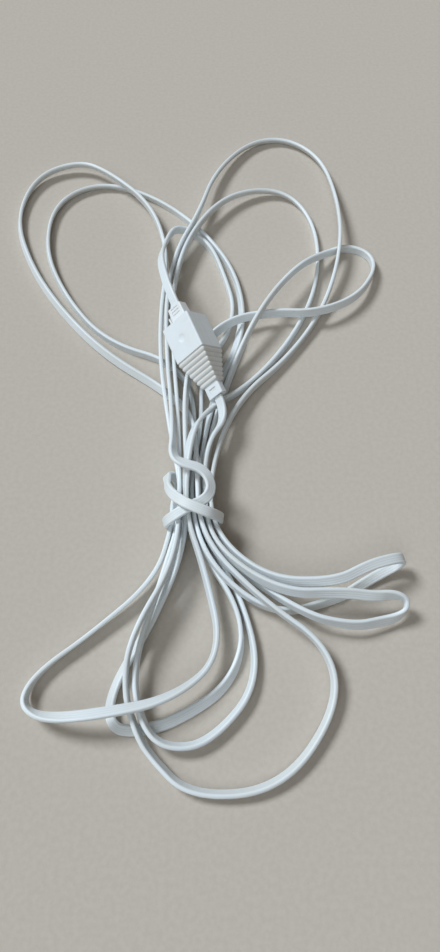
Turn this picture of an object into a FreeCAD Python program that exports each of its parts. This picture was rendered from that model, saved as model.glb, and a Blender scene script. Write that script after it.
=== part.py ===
"""A flat telephone extension lead, hanked and tied round its waist, with its plug in its own inline socket.

The row frame is in millimetres: +Z up, +Y along the hank towards its long loops, and the origin on the
floor under the middle of the part. The plug and the socket share a connector frame: x across the white
face, y out of the socket's mouth, z out of the white face.
"""
import FreeCAD, Part
import math
import os

os.makedirs("parts", exist_ok=True)
V = FreeCAD.Vector

# Flat four-core cord
CORD_WIDTH = 6.4
CORD_THICKNESS = 2.6
CORD_EDGE_FLAT = 0.9
CORD_SHOULDER = 0.8
CORES = 4
CORE_PITCH = 1.27
CORE_DIAMETER = 1.0
CORE_CENTRES = [(i - (CORES - 1) / 2) * CORE_PITCH for i in range(CORES)]
FLOOR_PRESS = 0.1 * CORD_WIDTH
ARC_STEP_DEG = 30.0
ARC_SAG = 0.42
ARC_SHARE = 0.45
LEAST_GAP = 0.4

# Inline socket housing
HOUSING_WIDTH = 24.0
HOUSING_HEIGHT = 21.0
HOUSING_BODY = 26.0
HOUSING_WALL = 1.6
HOUSING_EDGE_RADIUS = 1.2
RIB_COUNT = 7
RIB_LENGTH = 2.0
GROOVE_LENGTH = 1.1
GROOVE_DEPTH = 0.8
RIB_BEVEL = 0.35
COLLAR_WIDTH = 12.0
COLLAR_HEIGHT = 5.6
COLLAR_LENGTH = 9.0
TAIL_WALL = 2.4
TAIL_CAVITY = 14.0
DIMPLE_RADIUS = 3.0
DIMPLE_DEPTH = 0.5
DIMPLE_FROM_MOUTH = 13.0
WINDOW_WIDTH = 5.0
WINDOW_LENGTH = 2.6
RIB_SPAN = RIB_COUNT * (RIB_LENGTH + GROOVE_LENGTH)
HOUSING_LENGTH = HOUSING_BODY + RIB_SPAN + COLLAR_LENGTH

# Plug and its latch lever
INSERT_WIDTH = 10.8
INSERT_HEIGHT = 6.6
INSERT_LENGTH = 12.0
GRIP_WIDTH = 12.4
GRIP_HEIGHT = 8.2
GRIP_LENGTH = 13.0
GRIP_TAPER = 0.5
GRIP_EDGE_RADIUS = 0.8
GRIP_GROOVES = 3
GRIP_GROOVE_WIDTH = 1.0
GRIP_GROOVE_DEPTH = 0.35
GRIP_GROOVE_PITCH = 2.2
SHOULDER_GAP = 0.3
LEVER_WIDTH = 4.0
LEVER_THICKNESS = 1.2
LEVER_STANDOFF = 1.6
LEVER_REACH = 9.0
LEVER_FLARE = 0.8
LEVER_RIDGE = 0.4
LEVER_RIDGE_LENGTH = 2.0
PIVOT_RADIUS = 0.7
PIVOT_DEPTH = 9.8
PIVOT_BOSS = 1.4

# Contacts, clamps and fits
FIT = 0.1
RUNNING_FIT = 0.3
CORD_FIT = 0.25
BLADE_THICKNESS = 0.4
BLADE_LENGTH = 5.0
BLADE_FROM_NOSE = 1.0
SLOT_WIDTH = 0.8
SLOT_DEPTH = 0.6
SLOT_LENGTH = 8.0
SPRING_DIAMETER = 0.4
SPRING_LIFT = 5.2
SPRING_BEND_DEPTH = 14.5
SPRING_TOUCH_DEPTH = 8.5
SPRING_TIP_DEPTH = 6.5
SPRING_TIP_LIFT = 0.9
SPRING_GAP = 0.1
MITRED = 1
CAVITY_DEPTH = 13.2
BLOCK_LENGTH = 22.0
JACKET_IN_SOCKET = 18.5
JACKET_IN_PLUG = 6.0
CLAMP_WIDTH = 7.6
CLAMP_LENGTH = 3.2
CLAMP_THICKNESS = 1.0
PLUG_CLAMP_LENGTH = 2.4

# Where the connector pair lies on the hank
MOUTH = V(-2.6, 33.8, 29.0)
PAIR_YAW = 23.7
PAIR_PITCH = 10.5
PAIR_ROLL = 45.7

# Route of the cord: x, y, z of each point and the lean of the cord's broad side from upright, in degrees.
# Each row of the hank runs from one side of the tied waist round its loop to the other side.
ROUTE_SHIFT = V(0.4, 0.3, -FLOOR_PRESS)
PLUG_LEAD = 13.0
SOCKET_LEAD = 15.0
PLUG_TAIL = [(-17.5, 74, 32, 43)]
FIRST_CURL = [
    (-21.5, 97, 24.6, 38), (-20, 118.5, 15.6, 15), (-15, 138.5, 11.2, 5), (-7, 145, 6.2, 0),
    (0, 143, 3.2, 0), (13, 131, 3.2, 0), (22, 107.5, 3.6, 0), (34, 59.5, 3, 0), (8, 12.5, 3.4, 0),
    (9, -30.5, 3, 0)]
FIRST_RIGHT_LOOP = [
    (2, -83, 12.8, 0), (12, -129.5, 16.4, 0), (50, -159, 6, 0), (88.5, -147.5, 2.6, -35),
    (106, -137, 3.6, -60), (116, -131.5, 4, -75), (123.5, -128, 6, None), (127.5, -126, 11, None),
    (124.5, -127, 16.4, None), (116, -129.5, 19, 75), (105, -133, 19.6, 65), (85, -143, 18.4, 50),
    (45.5, -140.5, 16.6, 30), (15, -109, 15.2, 0)]
TALL_LOOP = [
    (16, -61, 12, 0), (33, -11.5, 7, 0), (69.5, 26.5, 2.4, 0), (97, 70.5, 5, 0), (111, 120.5, 14.2, 0),
    (112, 172, 11, -10), (104, 224.5, 5.6, -28), (77, 253, 3.4, -36), (44, 246.5, 4.4, -36),
    (16, 204.5, 8, -18), (4.5, 153.5, 12, 0), (-11.5, 117, 10.8, 0), (-17.5, 73, 8.4, 0),
    (-15, 20.5, 11, 0), (-10, -24.5, 17.4, 0)]
TIE = [
    (-8, -50.5, 22.2, 10), (-7.5, -65.5, 26.8, 45), (-2, -72.5, 30.2, 75), (11, -75.5, 29, 80),
    (16.5, -85.5, 27.2, 55), (13.5, -94.5, 26.4, 65), (1.5, -99.5, 25.4, 85), (-8, -105, 22.6, None),
    (-11.5, -104.5, 15, None), (-12, -101.5, 6, None), (-8.5, -99.5, 1.6, None), (4.5, -101, 1.2, 90),
    (14.5, -99, 1.4, 90), (20.5, -100, 7.6, None), (22.5, -102, 15.8, None), (19, -104, 24.6, None),
    (12, -103.5, 29.8, 80), (-1.5, -97.5, 29.8, 75), (-10.5, -85, 20.8, 25), (-11, -74, 11.6, None),
    (-12.5, -67.5, 5.2, None), (-7.5, -66.5, 2, None), (-3.5, -73.5, 1.4, 90), (-6.5, -86.5, 4.6, 60),
    (-7.5, -105, 9, 0)]
LONG_LEFT_LOOP = [
    (-17, -137.5, 6.8, -15), (-53.5, -169.5, 4.6, -20), (-74.5, -185.5, 4.2, -10), (-84, -199, 5.4, 5),
    (-82.5, -209.5, 8.4, 20), (-69, -215, 13.2, 60), (-44.5, -214, 17.8, 75), (-4, -206, 15, 45),
    (23, -181, 9.4, 15), (12, -132.5, 11.2, 15), (0, -99.5, 19.4, 0)]
MIDDLE_LOOP = [
    (1.5, -53, 25.8, 45), (11.5, -24.5, 13.2, 10), (42, 0.5, 5.8, 0), (72, 41.5, 4, 0), (92, 89, 3.2, 0),
    (96, 142.5, 3.2, -10), (81.5, 181, 3.8, -30), (54, 190.5, 5.8, -34), (20.5, 172.5, 9.8, -10),
    (-4.5, 127.5, 11.4, 0), (-13.5, 79, 8.6, 0), (-11, 26, 10.2, 0), (-6, -25, 15, 0), (-3, -77, 17.6, 0)]
LOW_ROUND_LOOP = [
    (-3.5, -128.5, 18, 0), (-28, -174, 19, 0), (-30, -201.5, 11.2, 5), (-22.5, -221.5, 8.4, 18),
    (-15, -232.5, 6.4, 28), (6, -252, 4.4, 32), (53.5, -248, 4, 34), (84.5, -207.5, 5, 22),
    (80.5, -176, 9.8, 0), (44.5, -152.5, 16, 0), (9, -115.5, 19.8, 0), (7.5, -68.5, 20, -15)]
LEFT_OUTER_LOOP = [
    (3.5, -27, 9, 15), (-14, -3.5, 3, 30), (-57, 25.5, 4.4, 26), (-91.5, 64, 4, 22),
    (-119.5, 108, 3.4, 20), (-137.5, 158, 3.4, 20), (-127, 205, 4.8, 26), (-93, 219, 7.8, 32),
    (-68, 202.5, 11.4, 20), (-31, 166.5, 8.8, 0), (-17, 116, 6, 0), (-21, 64, 8.2, 0), (-19, 12, 12.2, 0),
    (-11, -38.5, 10.4, 0), (-0.5, -90.5, 9.4, 0)]
LOW_INNER_LOOP = [
    (-13, -140.5, 11.2, 0), (-26.5, -187, 10.8, 5), (-20.5, -217, 8.8, 20), (-7.5, -229, 6.6, 32),
    (16, -226, 4.4, 38), (44, -193.5, 3.8, 20), (32.5, -142, 2.8, 0), (5.5, -103, 7.4, 0)]
LEFT_INNER_LOOP = [
    (9, -53, 6.6, 0), (18, -1.5, 4.2, 40), (38, 47, 3, 45), (34, 100, 3.6, 0), (8, 145.5, 3.2, 0),
    (-30, 182.5, 3.2, -12), (-74.5, 200.5, 3.2, -34), (-109, 177, 3.6, -28), (-111.5, 125.5, 3.6, -15),
    (-90, 77, 3.6, -5), (-57.5, 37, 3, 0), (-8.5, 20, 3.4, 0), (6.5, -18, 3.2, 0), (0, -71, 3.6, 0)]
LOW_BROAD_LOOP = [
    (6, -113.5, 8.4, 0), (36, -159, 3.8, 0), (28.5, -195.5, 2.8, 35), (-4.5, -215.5, 2.4, 65),
    (-22.5, -219.5, 2.4, 60), (-35, -219, 3.4, 50), (-39, -208.5, 4, 48), (-34, -190.5, 4, 42),
    (-19, -164, 3.4, 45), (1, -116, 8.6, 30), (0, -64, 16.4, 0)]
SMALL_RIGHT_LOOP = [
    (-2, -11, 15, -15), (3, 26.5, 3.2, -30), (24.5, 50.5, 11.6, -30), (58.5, 61, 9, -15),
    (87.5, 56.5, 12.4, -25), (118.5, 73, 9, -15), (135.5, 102.5, 5.8, 0), (133, 121, 3.8, 0),
    (117.5, 129.5, 2.8, 0), (102.5, 119.5, 7.6, 0), (77.5, 98.5, 16.6, 0), (48.5, 56.5, 18.4, 0),
    (27.5, 9.5, 5, 15), (14, -40.5, 2.4, 10), (10.5, -90, 7, 0)]
SECOND_RIGHT_LOOP = [
    (21.5, -124.5, 10.2, 0), (66.5, -159.5, 13.6, -5), (95, -165.5, 10.2, -30), (112.5, -161.5, 7, -45),
    (121.5, -159, 7, -25), (126.5, -154.5, 9, 0), (125.5, -149.5, 12, 0), (118, -148, 14.2, 27),
    (107.5, -149.5, 14.6, 55), (90.5, -148, 17.2, 50), (53, -149.5, 19.8, 25), (16, -120, 18, 0),
    (10.5, -82.5, 14.6, 15)]
SOCKET_TAIL = [(13, -50, 16.2, 15)]
HANK = (FIRST_CURL + FIRST_RIGHT_LOOP + TALL_LOOP + TIE + LONG_LEFT_LOOP + MIDDLE_LOOP + LOW_ROUND_LOOP
        + LEFT_OUTER_LOOP + LOW_INNER_LOOP + LEFT_INNER_LOOP + LOW_BROAD_LOOP + SMALL_RIGHT_LOOP
        + SECOND_RIGHT_LOOP)


UP = V(0, 0, 1)
PAIR_TURN = (FreeCAD.Rotation(UP, PAIR_YAW)
             .multiply(FreeCAD.Rotation(V(1, 0, 0), PAIR_PITCH))
             .multiply(FreeCAD.Rotation(V(0, 1, 0), -PAIR_ROLL)))
PAIR = FreeCAD.Placement(MOUTH + ROUTE_SHIFT, PAIR_TURN)
PAIR_ALONG = PAIR_TURN.multVec(V(0, 1, 0))
PAIR_ACROSS = PAIR_TURN.multVec(V(1, 0, 0))


def pair_point(y):
    """A point on the connector pair's axis, y out of the socket's mouth."""
    return PAIR.multVec(V(0, y, 0))


def broad_axis(along, lean):
    """Direction of the cord's broad side: lean degrees from upright, square to the cord."""
    side = unit(along.cross(UP))
    upright = side.cross(along)
    return upright * math.cos(math.radians(lean)) + side * math.sin(math.radians(lean))


def unit(vector):
    return V(vector).normalize()


def blend(first, last, share):
    return first + (last - first) * share


def squared(axis, along):
    """The axis turned square to the cord."""
    return unit(axis - along * axis.dot(along))


def broad_axes(rows):
    """Broad side at each point of the route; a row without a lean takes it from its neighbours."""
    axes = []
    for i, (place, lean) in enumerate(rows):
        if lean is None:
            axes.append(None)
            continue
        before = rows[max(i - 1, 0)][0]
        after = rows[min(i + 1, len(rows) - 1)][0]
        axes.append(broad_axis(unit(after - before), lean))
    for i in range(1, len(axes)):
        last = next(j for j in range(i, len(axes)) if axes[j])
        axis = axes[last]
        if axis.dot(axes[i - 1]) < 0:
            axis = axis * -1
        axes[i] = unit(blend(axes[i - 1], axis, 1 / (last - i + 1)))
    return axes


def arc_stations(corners, axes):
    """Sections round the middle one of three points: position, direction and broad side, on the largest arc
    that fits."""
    before, corner, after = corners
    run_in = corner - before
    run_out = after - corner
    ahead = unit(run_in)
    leaving = unit(run_out)
    turn = ahead.getAngle(leaving)
    reach = ARC_SHARE * min(run_in.Length, run_out.Length)
    radius = reach / math.tan(turn / 2)
    inward = unit(leaving - ahead * ahead.dot(leaving))
    start = corner - ahead * reach
    axis_in = blend(axes[1], axes[0], reach / run_in.Length)
    axis_out = blend(axes[1], axes[2], reach / run_out.Length)
    step_turn = min(math.radians(ARC_STEP_DEG), 2 * math.acos(max(0, 1 - ARC_SAG / radius)))
    steps = math.ceil(turn / step_turn)
    stations = []
    for step in range(steps + 1):
        share = step / steps
        angle = turn * share
        place = start + ahead * (radius * math.sin(angle)) + inward * (radius * (1 - math.cos(angle)))
        along = ahead * math.cos(angle) + inward * math.sin(angle)
        if share < 0.5:
            axis = blend(axis_in, axes[1], 2 * share)
        else:
            axis = blend(axes[1], axis_out, 2 * share - 1)
        stations.append((place, along, squared(axis, along)))
    return stations, radius, radius * turn


def section(place, along, across):
    """The flat cord's eight-sided outline at one station."""
    face = along.cross(across)
    edge, flat = CORD_WIDTH / 2, CORD_EDGE_FLAT / 2
    shoulder, half = CORD_WIDTH / 2 - CORD_SHOULDER, CORD_THICKNESS / 2
    outline = [(edge, -flat), (edge, flat), (shoulder, half), (-shoulder, half),
               (-edge, flat), (-edge, -flat), (-shoulder, -half), (shoulder, -half)]
    corners = [place + across * u + face * v for u, v in outline]
    return Part.makePolygon(corners + corners[:1])


def cord_solid(stations):
    return Part.makeLoft([section(*station) for station in stations], True, True)


# The whole cord as one route, cut into its two free tails and the hank at the middle of a straight run
plug_exit = pair_point(SHOULDER_GAP + GRIP_LENGTH)
socket_exit = pair_point(-HOUSING_LENGTH)
jacket_end = pair_point(-HOUSING_LENGTH + JACKET_IN_SOCKET)


def placed(rows):
    return [(V(x, y, z) + ROUTE_SHIFT, lean) for x, y, z, lean in rows]


route = ([(plug_exit, 0), (plug_exit + PAIR_ALONG * PLUG_LEAD, 0)]
         + placed(PLUG_TAIL + HANK + SOCKET_TAIL)
         + [(socket_exit - PAIR_ALONG * SOCKET_LEAD, 0), (socket_exit, 0)])
points = [place for place, lean in route]
axes = broad_axes(route)
for end in (0, 1, -2, -1):
    axes[end] = PAIR_ACROSS * math.copysign(1, PAIR_ACROSS.dot(axes[end]))
hank_first = 2 + len(PLUG_TAIL)
hank_last = hank_first + len(HANK)

stretches = [[(plug_exit, PAIR_ALONG, axes[0])]]
radii = []
for i in range(1, len(route) - 1):
    if i in (hank_first, hank_last):
        ahead = unit(points[i] - points[i - 1])
        cut = (blend(points[i - 1], points[i], 0.5), ahead, squared(blend(axes[i - 1], axes[i], 0.5), ahead))
        stretches[-1].append(cut)
        stretches.append([cut])
    bend, radius, length = arc_stations(points[i - 1:i + 2], axes[i - 1:i + 2])
    stretches[-1] += bend
    radii.append(radius)
stretches[-1] += [(socket_exit, PAIR_ALONG, axes[-1]), (jacket_end, PAIR_ALONG, axes[-1])]


def box(x0, x1, y0, y1, z0, z1):
    """A block between two opposite corners, in the connector frame."""
    return Part.makeBox(x1 - x0, y1 - y0, z1 - z0, V(x0, y0, z0))


def centred(width, height, y0, y1):
    """A block centred on the connector's axis from y0 to y1."""
    return box(-width / 2, width / 2, y0, y1, -height / 2, height / 2)


def bar(start, end, diameter):
    return Part.makeCylinder(diameter / 2, (end - start).Length, start, end - start)


def along_edges(shape):
    """The long edges of a block that run along the connector's axis."""
    return [edge for edge in shape.Edges
            if abs(unit(edge.Vertexes[-1].Point - edge.Vertexes[0].Point).y) > 0.99]


def tapered(width0, height0, y0, width1, height1, y1):
    """A wedge between two rectangles square to the axis, the first at the lower y."""
    return Part.makeWedge(-width0 / 2, y0, -height0 / 2, -height1 / 2, -width1 / 2,
                          width0 / 2, y1, height0 / 2, height1 / 2, width1 / 2)


def stepped_outline(start_half, end_half, turned):
    """One half outline of the ribs mirrored about the axis: it narrows rib by rib, with a groove behind each."""
    edge = []
    y = -HOUSING_BODY
    for rib in range(RIB_COUNT):
        half = blend(start_half, end_half, (rib + 1) / (RIB_COUNT + 1))
        groove = half - GROOVE_DEPTH
        front = y - GROOVE_LENGTH
        back = front - RIB_LENGTH
        edge += [(groove, y), (groove, front), (half - RIB_BEVEL, front), (half, front - RIB_BEVEL),
                 (half, back + RIB_BEVEL), (half - RIB_BEVEL, back)]
        y = back
    outline = edge + [(-half, y) for half, y in reversed(edge)]
    if turned:
        corners = [V(0, y, half) for half, y in outline]
    else:
        corners = [V(half, y, 0) for half, y in outline]
    return Part.Face(Part.makePolygon(corners + corners[:1]))


# Socket housing: block, ribs and collar, hollow inside, split through the middle into two shells
body = centred(HOUSING_WIDTH, HOUSING_HEIGHT, -HOUSING_BODY, 0)
body = body.makeFillet(HOUSING_EDGE_RADIUS, along_edges(body))
ribs_wide = stepped_outline(HOUSING_WIDTH / 2, COLLAR_WIDTH / 2, False)
ribs_high = stepped_outline(HOUSING_HEIGHT / 2, COLLAR_HEIGHT / 2, True)
ribs_wide.translate(V(0, 0, -HOUSING_HEIGHT / 2))
ribs_high.translate(V(-HOUSING_WIDTH / 2, 0, 0))
ribs = ribs_wide.extrude(V(0, 0, HOUSING_HEIGHT)).common(ribs_high.extrude(V(HOUSING_WIDTH, 0, 0)))
collar_start = -HOUSING_BODY - RIB_SPAN
collar = centred(COLLAR_WIDTH, COLLAR_HEIGHT, -HOUSING_LENGTH, collar_start)
collar = collar.makeFillet(HOUSING_EDGE_RADIUS, along_edges(collar))
housing = body.fuse([ribs, collar])

cavity_width = HOUSING_WIDTH - 2 * HOUSING_WALL
cavity_height = HOUSING_HEIGHT - 2 * HOUSING_WALL
cavity_end = -HOUSING_WALL - FIT - BLOCK_LENGTH
room = centred(cavity_width, cavity_height, cavity_end, -HOUSING_WALL)
taper_end = cavity_end - TAIL_CAVITY
taper_share = (-HOUSING_BODY - taper_end) / RIB_SPAN
taper_room = tapered(blend(HOUSING_WIDTH, COLLAR_WIDTH, taper_share) - 2 * TAIL_WALL,
                     blend(HOUSING_HEIGHT, COLLAR_HEIGHT, taper_share) - 2 * TAIL_WALL, taper_end,
                     HOUSING_WIDTH - 2 * TAIL_WALL, HOUSING_HEIGHT - 2 * TAIL_WALL, cavity_end)
cord_bore = centred(CORD_WIDTH + 2 * CORD_FIT, CORD_THICKNESS + 2 * CORD_FIT, -HOUSING_LENGTH, taper_end)

lever_inner = -INSERT_WIDTH / 2 - LEVER_STANDOFF
lever_outer = lever_inner - LEVER_THICKNESS
mouth_side = lever_outer - LEVER_RIDGE - RUNNING_FIT
lever_way = LEVER_WIDTH / 2 + RUNNING_FIT


def plug_way(y0, y1):
    """Room for the plug's insert and its lever, from y0 to y1."""
    insert = centred(INSERT_WIDTH + 2 * RUNNING_FIT, INSERT_HEIGHT + 2 * RUNNING_FIT, y0, y1)
    lever = box(mouth_side, 0, y0, y1, -lever_way, lever_way)
    return insert.fuse(lever)


mouth = plug_way(-HOUSING_WALL, 0)
clamp_place = -HOUSING_LENGTH + COLLAR_LENGTH / 2
clamp_low = CORD_THICKNESS / 2
clamp_pocket = box(-CLAMP_WIDTH / 2, CLAMP_WIDTH / 2, clamp_place - CLAMP_LENGTH / 2,
                   clamp_place + CLAMP_LENGTH / 2, 0, clamp_low + CLAMP_THICKNESS)
window = box(-WINDOW_WIDTH / 2, WINDOW_WIDTH / 2, clamp_place - WINDOW_LENGTH / 2,
             clamp_place + WINDOW_LENGTH / 2, 0, COLLAR_HEIGHT)
dimple_ball = (DIMPLE_RADIUS ** 2 + DIMPLE_DEPTH ** 2) / (2 * DIMPLE_DEPTH)
dimple = Part.makeSphere(dimple_ball, V(0, -DIMPLE_FROM_MOUTH, HOUSING_HEIGHT / 2 - DIMPLE_DEPTH + dimple_ball))
housing = housing.cut([room, taper_room, cord_bore, mouth, clamp_pocket, window, dimple])
upper_half = box(-HOUSING_WIDTH, HOUSING_WIDTH, -HOUSING_LENGTH - 1, 1, 0, HOUSING_HEIGHT)
shell_upper = housing.common(upper_half)
shell_lower = housing.cut(upper_half)

# The clamp bar under the collar's window holds the cord's jacket
socket_clamp = box(-CLAMP_WIDTH / 2, CLAMP_WIDTH / 2, clamp_place - CLAMP_LENGTH / 2,
                   clamp_place + CLAMP_LENGTH / 2, clamp_low, clamp_low + CLAMP_THICKNESS)

# Jack insert: a block with the plug's cavity and the springs' recess and channels
block = centred(cavity_width - 2 * FIT, cavity_height - 2 * FIT, cavity_end, -HOUSING_WALL - FIT)
cavity_roof = INSERT_HEIGHT / 2 + RUNNING_FIT
touch_height = INSERT_HEIGHT / 2 - SLOT_DEPTH + SPRING_GAP + SPRING_DIAMETER / 2
recess_half = CORE_CENTRES[-1] + SLOT_WIDTH / 2 + FIT
recess = box(-recess_half, recess_half, -SPRING_BEND_DEPTH, -SPRING_TIP_DEPTH + SPRING_DIAMETER + RUNNING_FIT,
             0, SPRING_LIFT + SPRING_DIAMETER / 2 + RUNNING_FIT)
block = block.cut([plug_way(-CAVITY_DEPTH, 0), recess])
block = block.cut([bar(V(x, cavity_end, SPRING_LIFT), V(x, -SPRING_BEND_DEPTH, SPRING_LIFT), SPRING_DIAMETER)
                   for x in CORE_CENTRES])


def socket_core(x):
    """A core that rises from the jacket's end to its spring, cut square to the axis at both ends."""
    ring = Part.Wire(Part.makeCircle(CORE_DIAMETER / 2, V(x, jacket_stop, 0), V(0, 1, 0)))
    return Part.Face(ring).extrude(V(0, cavity_end - jacket_stop, SPRING_LIFT))


def spring(x):
    """A wire contact: straight through the block, down to the plug's blade and up again at its tip."""
    line = [V(x, cavity_end, SPRING_LIFT), V(x, -SPRING_BEND_DEPTH, SPRING_LIFT),
            V(x, -SPRING_TOUCH_DEPTH, touch_height), V(x, -SPRING_TIP_DEPTH, touch_height + SPRING_TIP_LIFT)]
    ring = Part.Wire(Part.makeCircle(SPRING_DIAMETER / 2, line[0], V(0, 1, 0)))
    return Part.makePolygon(line).makePipeShell([ring], True, False, MITRED)


jacket_stop = -HOUSING_LENGTH + JACKET_IN_SOCKET
springs = [spring(x) for x in CORE_CENTRES]
socket_cores = [socket_core(x) for x in CORE_CENTRES]

# Plug: nose and grip in one piece, with a groove each side, slots for the blades and a recess for the lever
nose = centred(INSERT_WIDTH, INSERT_HEIGHT, -INSERT_LENGTH, SHOULDER_GAP)
grip_end = SHOULDER_GAP + GRIP_LENGTH
grip = centred(GRIP_WIDTH, GRIP_HEIGHT, SHOULDER_GAP, grip_end)
grip = grip.common(tapered(GRIP_WIDTH, GRIP_HEIGHT, SHOULDER_GAP,
                           GRIP_WIDTH - 2 * GRIP_TAPER, GRIP_HEIGHT - 2 * GRIP_TAPER, grip_end))
grip = grip.makeFillet(GRIP_EDGE_RADIUS, along_edges(grip))
grooves = []
for i in range(GRIP_GROOVES):
    middle = grip_end - GRIP_GROOVE_PITCH * (i + 0.75)
    floor = GRIP_HEIGHT / 2 - GRIP_TAPER * (middle - SHOULDER_GAP) / GRIP_LENGTH - GRIP_GROOVE_DEPTH
    y0 = middle - GRIP_GROOVE_WIDTH / 2
    y1 = middle + GRIP_GROOVE_WIDTH / 2
    grooves.append(box(-GRIP_WIDTH / 4, GRIP_WIDTH / 4, y0, y1, floor, GRIP_HEIGHT))
    grooves.append(box(-GRIP_WIDTH / 4, GRIP_WIDTH / 4, y0, y1, -GRIP_HEIGHT, -floor))

lever_recess = box(-GRIP_WIDTH, -INSERT_WIDTH / 2, SHOULDER_GAP, LEVER_REACH + RUNNING_FIT,
                   -lever_way, lever_way)
jacket_back = grip_end - JACKET_IN_PLUG
jacket_bore = centred(CORD_WIDTH + 2 * FIT, CORD_THICKNESS + 2 * FIT, jacket_back, grip_end)
core_end = -INSERT_LENGTH + BLADE_FROM_NOSE
core_channel = centred(CORES * CORE_PITCH, CORE_DIAMETER + 2 * FIT, core_end, jacket_back)
blade_top = INSERT_HEIGHT / 2 - SLOT_DEPTH
slots = []
for x in CORE_CENTRES:
    slots.append(box(x - SLOT_WIDTH / 2, x + SLOT_WIDTH / 2, -INSERT_LENGTH, -INSERT_LENGTH + SLOT_LENGTH,
                     blade_top, INSERT_HEIGHT))
    slots.append(box(x - BLADE_THICKNESS / 2, x + BLADE_THICKNESS / 2, core_end, core_end + BLADE_LENGTH,
                     0, INSERT_HEIGHT))
plug_clamp_place = grip_end - JACKET_IN_PLUG / 2
plug_clamp_box = box(-CORD_WIDTH / 2, CORD_WIDTH / 2, plug_clamp_place - PLUG_CLAMP_LENGTH / 2,
                     plug_clamp_place + PLUG_CLAMP_LENGTH / 2, -CORD_THICKNESS / 2 - CLAMP_THICKNESS,
                     -CORD_THICKNESS / 2)
pivot = V(-INSERT_WIDTH / 2 - PIVOT_BOSS, -PIVOT_DEPTH, 0)
pivot_base = V(pivot.x, pivot.y, -LEVER_WIDTH / 2)
boss = box(pivot.x + PIVOT_RADIUS / 2, -INSERT_WIDTH / 2, pivot.y - 2 * PIVOT_RADIUS, pivot.y + 2 * PIVOT_RADIUS,
           -LEVER_WIDTH / 2, LEVER_WIDTH / 2)
boss = boss.cut(Part.makeCylinder(PIVOT_RADIUS + FIT, LEVER_WIDTH, pivot_base))
plug_body = nose.fuse([grip.cut(lever_recess), boss])
plug_body = plug_body.cut(grooves + [jacket_bore, plug_clamp_box, core_channel] + slots)

# Latch lever: a bar hinged beside the plug's nose, with a catch ridge inside and a thumb end outside
bar_end = 1.0
outline = [V(lever_inner, pivot.y, 0), V(lever_inner, bar_end, 0),
           V(lever_inner - LEVER_FLARE, LEVER_REACH, 0), V(lever_outer - LEVER_FLARE, LEVER_REACH, 0),
           V(lever_outer, bar_end, 0), V(lever_outer, -HOUSING_WALL, 0),
           V(lever_outer - LEVER_RIDGE, -HOUSING_WALL - RUNNING_FIT, 0),
           V(lever_outer, -HOUSING_WALL - RUNNING_FIT - LEVER_RIDGE_LENGTH, 0), V(lever_outer, pivot.y, 0)]
lever = Part.Face(Part.makePolygon(outline + outline[:1])).extrude(V(0, 0, LEVER_WIDTH))
lever.translate(V(0, 0, -LEVER_WIDTH / 2))
lever = lever.fuse(Part.makeCylinder(PIVOT_RADIUS, LEVER_WIDTH, pivot_base))


def blade(x):
    """A flat contact with two piercing points that reach the core below it."""
    low = CORE_DIAMETER / 2
    neck = low + BLADE_LENGTH / 4
    back = core_end + BLADE_LENGTH
    corners = [V(x, core_end, blade_top), V(x, core_end, neck), V(x, core_end + BLADE_LENGTH / 4, low),
               V(x, core_end + BLADE_LENGTH / 2, neck), V(x, back - BLADE_LENGTH / 4, low),
               V(x, back, neck), V(x, back, blade_top)]
    plate = Part.Face(Part.makePolygon(corners + corners[:1])).extrude(V(BLADE_THICKNESS, 0, 0))
    plate.translate(V(-BLADE_THICKNESS / 2, 0, 0))
    return plate


blades = [blade(x) for x in CORE_CENTRES]
plug_cores = [bar(V(x, core_end, 0), V(x, jacket_back, 0), CORE_DIAMETER) for x in CORE_CENTRES]


def core_points(stations, spacing):
    """Centres of the cord's cores at a steady spacing along it, with their distance along the cord."""
    samples = []
    walked = 0.0
    for (place, along, axis), (next_place, next_along, next_axis) in zip(stations, stations[1:]):
        length = (next_place - place).Length
        count = max(1, math.ceil(length / spacing))
        for step in range(count):
            share = step / count
            middle = blend(place, next_place, share)
            across = unit(blend(axis, next_axis, share))
            for core in CORE_CENTRES:
                samples.append((walked + length * share, middle + across * core))
        walked += length
    return samples, walked


def least_gap(samples, reach, apart):
    """Least distance between core centres that lie more than apart along the cord, less both cores' reach."""
    cell = 2 * reach + 2 * LEAST_GAP
    cells = {}
    least = cell
    for walked, point in samples:
        key = (int(point.x // cell), int(point.y // cell), int(point.z // cell))
        for dx in (-1, 0, 1):
            for dy in (-1, 0, 1):
                for dz in (-1, 0, 1):
                    for other, near in cells.get((key[0] + dx, key[1] + dy, key[2] + dz), ()):
                        if walked - other > apart:
                            least = min(least, point.distanceToPoint(near))
        cells.setdefault(key, []).append((walked, point))
    return least - 2 * reach


# Every piece by name, in its place on the hank
pair_solids = {
    "socket_shell_upper": shell_upper, "socket_shell_lower": shell_lower, "jack_insert": block,
    "socket_cord_clamp": socket_clamp, "plug_body": plug_body, "plug_latch_lever": lever,
    "plug_cord_clamp": plug_clamp_box}
for group, solids in (("socket_contact", springs), ("socket_core", socket_cores),
                      ("plug_contact", blades), ("plug_core", plug_cores)):
    for i, solid in enumerate(solids):
        pair_solids[group + "_" + str(i + 1)] = solid

nodes = {}
for name, solid in pair_solids.items():
    solid.Placement = PAIR.multiply(solid.Placement)
    nodes[name] = solid
nodes["plug_cord_end"] = cord_solid([(pair_point(jacket_back), PAIR_ALONG, axes[0]),
                                     (plug_exit, PAIR_ALONG, axes[0])])
for name, stations in zip(("cord_plug_tail", "cord_hank", "cord_socket_tail"), stretches):
    nodes[name] = cord_solid(stations)

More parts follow.
